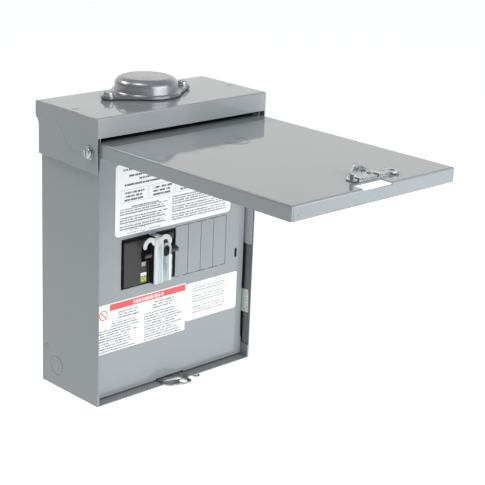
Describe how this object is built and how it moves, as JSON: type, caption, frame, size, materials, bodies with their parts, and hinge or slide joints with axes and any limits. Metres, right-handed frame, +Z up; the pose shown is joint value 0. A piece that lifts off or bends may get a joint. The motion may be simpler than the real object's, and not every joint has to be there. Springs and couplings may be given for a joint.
{
  "type": "subpanel enclosure",
  "caption": "Outdoor wall enclosure with rain hood, lift-up door, dead front and circuit breakers with a lever interlock.",
  "frame": {"origin": "centre of the wall screw pattern, on the wall", "axes": "+X right seen from the front, +Y into the wall, +Z up; door shown lifted open"},
  "size_m": [0.2456, 0.3746, 0.3518],
  "materials": {
    "enamel": "glossy grey baked enamel",
    "zinc": "bright zinc plate",
    "dull_zinc": "dull zinc plate",
    "cast": "pressed cap with a satin grey finish",
    "gasket": "matt",
    "galvanised": "galvanised",
    "tin": "tin plate",
    "paper": "printed label",
    "moulded": "moulded, slightly rough",
    "handle": "satin",
    "window": "clear over grey",
    "rating": "printed label",
    "nylon": "natural nylon",
    "green": "green plated screw"
  },
  "bodies": {
    "enclosure": {"box_shell": "enamel", "box_floor": "enamel", "hood_top": "enamel", "hood_flap_left": "enamel", "hood_flap_right": "enamel", "hub_gasket": "gasket", "hub_cap": "cast", "hub_screws": "zinc", "hinge_pins": "zinc", "strike": "dull_zinc", "strike_rivets": "zinc", "grounding_stud": "zinc", "dead_front": "enamel", "dead_front_clips": "galvanised", "dead_front_screws": "zinc", "label_wiring": "paper", "label_hazard": "paper", "label_torque": "paper", "label_wall_upper": "paper", "label_wall_lower": "paper", "breaker_left": "moulded", "breaker_right": "moulded", "breaker_left_terminals": "tin", "breaker_right_terminals": "tin", "breaker_left_window": "window", "breaker_right_window": "window", "rating_label_left": "rating", "rating_label_right": "rating", "interlock_bracket": "zinc", "interlock_pivot": "zinc", "interior_pan": "galvanised", "breaker_rail": "galvanised", "bus_insulator": "moulded", "bus_bar_a": "tin", "bus_bar_b": "tin", "bus_screws": "zinc", "main_lugs": "tin", "main_lug_screws": "zinc", "neutral_bar": "tin", "neutral_insulators": "nylon", "neutral_screws": "zinc", "ground_bar": "tin", "ground_screws": "zinc", "bonding_screw": "green"},
    "door": {"door": "enamel", "latch_plate": "zinc", "latch_rivets": "zinc"},
    "latch": {"latch_slide": "zinc"},
    "left_handle": {"breaker_left_handle": "handle"},
    "right_handle": {"breaker_right_handle": "handle"},
    "lever": {"interlock_lever": "zinc"}
  },
  "joints": [
    {"name": "door_hinge", "type": "hinge", "parent": "enclosure", "child": "door", "pos_m": [0, -0.0914, 0.1303], "axis": [1, 0, 0], "range_deg": [0, 90]},
    {"name": "latch_travel", "type": "slide", "parent": "door", "child": "latch", "axis": [-1, 0, 0], "range_m": [0, 0.007]},
    {"name": "left_handle_swing", "type": "hinge", "parent": "enclosure", "child": "left_handle", "pos_m": [-0.0418, -0.081, 0.009], "axis": [-1, 0, 0], "range_deg": [0, 32]},
    {"name": "right_handle_swing", "type": "hinge", "parent": "enclosure", "child": "right_handle", "pos_m": [-0.0037, -0.081, 0.009], "axis": [-1, 0, 0], "range_deg": [0, 32]},
    {"name": "interlock_swing", "type": "hinge", "parent": "enclosure", "child": "lever", "pos_m": [-0.0306, -0.0988, 0.0208], "axis": [0, 1, 0], "range_deg": [-8, 8]}
  ]
}
